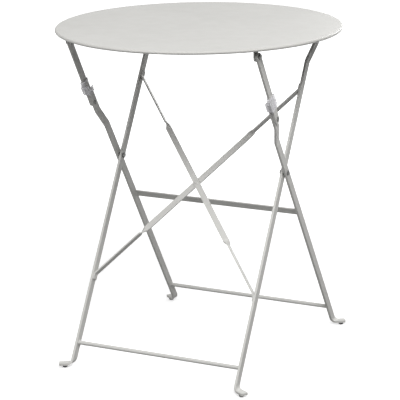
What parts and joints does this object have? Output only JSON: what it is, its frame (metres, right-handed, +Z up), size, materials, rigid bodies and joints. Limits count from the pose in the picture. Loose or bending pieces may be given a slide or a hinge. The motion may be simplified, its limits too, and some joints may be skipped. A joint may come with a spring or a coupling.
{
  "type": "folding bistro table",
  "caption": "Folding bistro table: round sheet-steel top with a rolled rim on crossed flat-bar legs, with folding links held by sliding clips.",
  "frame": {"origin": "on the floor, under the centre of the round top", "axes": "+Z up, +X to the right, +Y from the front to the back; the hinge of the top is at the back and the folding links are at the front"},
  "size_m": [0.6, 0.6, 0.708],
  "materials": {
    "top_paint": "pale grey powder coat, fine texture",
    "frame_paint": "pale grey powder coat, satin",
    "dark_zinc": "dull zinc plate",
    "clip_plastic": "milky translucent moulded plastic",
    "glide_plastic": "dark grey moulded plastic"
  },
  "bodies": {
    "front_frame": {"front_leg_left": "frame_paint", "front_leg_right": "frame_paint", "front_lower_bar": "frame_paint", "brace_strip_front": "frame_paint", "brace_strip_rear": "frame_paint", "brace_rivet": "frame_paint", "crossing_bolts": "dark_zinc", "crossing_washers": "dark_zinc", "crossing_nuts": "dark_zinc", "front_foot_plugs": "glide_plastic"},
    "rear_frame": {"rear_leg_left": "frame_paint", "rear_leg_right": "frame_paint", "rear_upper_bar": "frame_paint", "rear_lower_bar": "frame_paint", "knee_rivet_ends": "dark_zinc", "rear_foot_plugs": "glide_plastic"},
    "top": {"tabletop": "top_paint", "front_top_rail": "frame_paint", "rear_top_rail": "frame_paint", "top_hinge_bolts": "dark_zinc", "top_hinge_washers": "dark_zinc", "top_hinge_nuts": "dark_zinc", "link_bolts": "dark_zinc", "link_washers": "dark_zinc", "link_nuts": "dark_zinc"},
    "link_left": {"link_left": "frame_paint", "knee_rivet_left": "dark_zinc"},
    "link_right": {"link_right": "frame_paint", "knee_rivet_right": "dark_zinc"},
    "clip_left": {"locking_clip_left": "clip_plastic"},
    "clip_right": {"locking_clip_right": "clip_plastic"}
  },
  "joints": [
    {"name": "frame_fold", "type": "hinge", "parent": "front_frame", "child": "rear_frame", "pos_m": [0, 0.001, 0.41], "axis": [-1, 0, 0], "range_deg": [0, 59.65]},
    {"name": "top_fold", "type": "hinge", "parent": "front_frame", "child": "top", "pos_m": [0, 0.1625, 0.686], "axis": [1, 0, 0], "range_deg": [0, 55.32]},
    {"name": "link_left_fold", "type": "hinge", "parent": "top", "child": "link_left", "pos_m": [-0.2149, -0.167, 0.686], "axis": [1, 0, 0], "range_deg": [0, 57.6]},
    {"name": "clip_left_slide", "type": "slide", "parent": "link_left", "child": "clip_left", "axis": [0, -0.5102, 0.8601], "range_m": [0, 0.0941]},
    {"name": "link_right_fold", "type": "hinge", "parent": "top", "child": "link_right", "pos_m": [0.2149, -0.167, 0.686], "axis": [1, 0, 0], "range_deg": [0, 57.6]},
    {"name": "clip_right_slide", "type": "slide", "parent": "link_right", "child": "clip_right", "axis": [0, -0.5102, 0.8601], "range_m": [0, 0.0941]}
  ],
  "couplings": [
    {"joint": "top_fold", "follows": "frame_fold", "ratio": 0.92729},
    {"joint": "link_left_fold", "follows": "frame_fold", "ratio": 0.96555},
    {"joint": "clip_left_slide", "follows": "frame_fold", "m_per_rad": 0.09029},
    {"joint": "link_right_fold", "follows": "frame_fold", "ratio": 0.96555},
    {"joint": "clip_right_slide", "follows": "frame_fold", "m_per_rad": 0.09029}
  ]
}
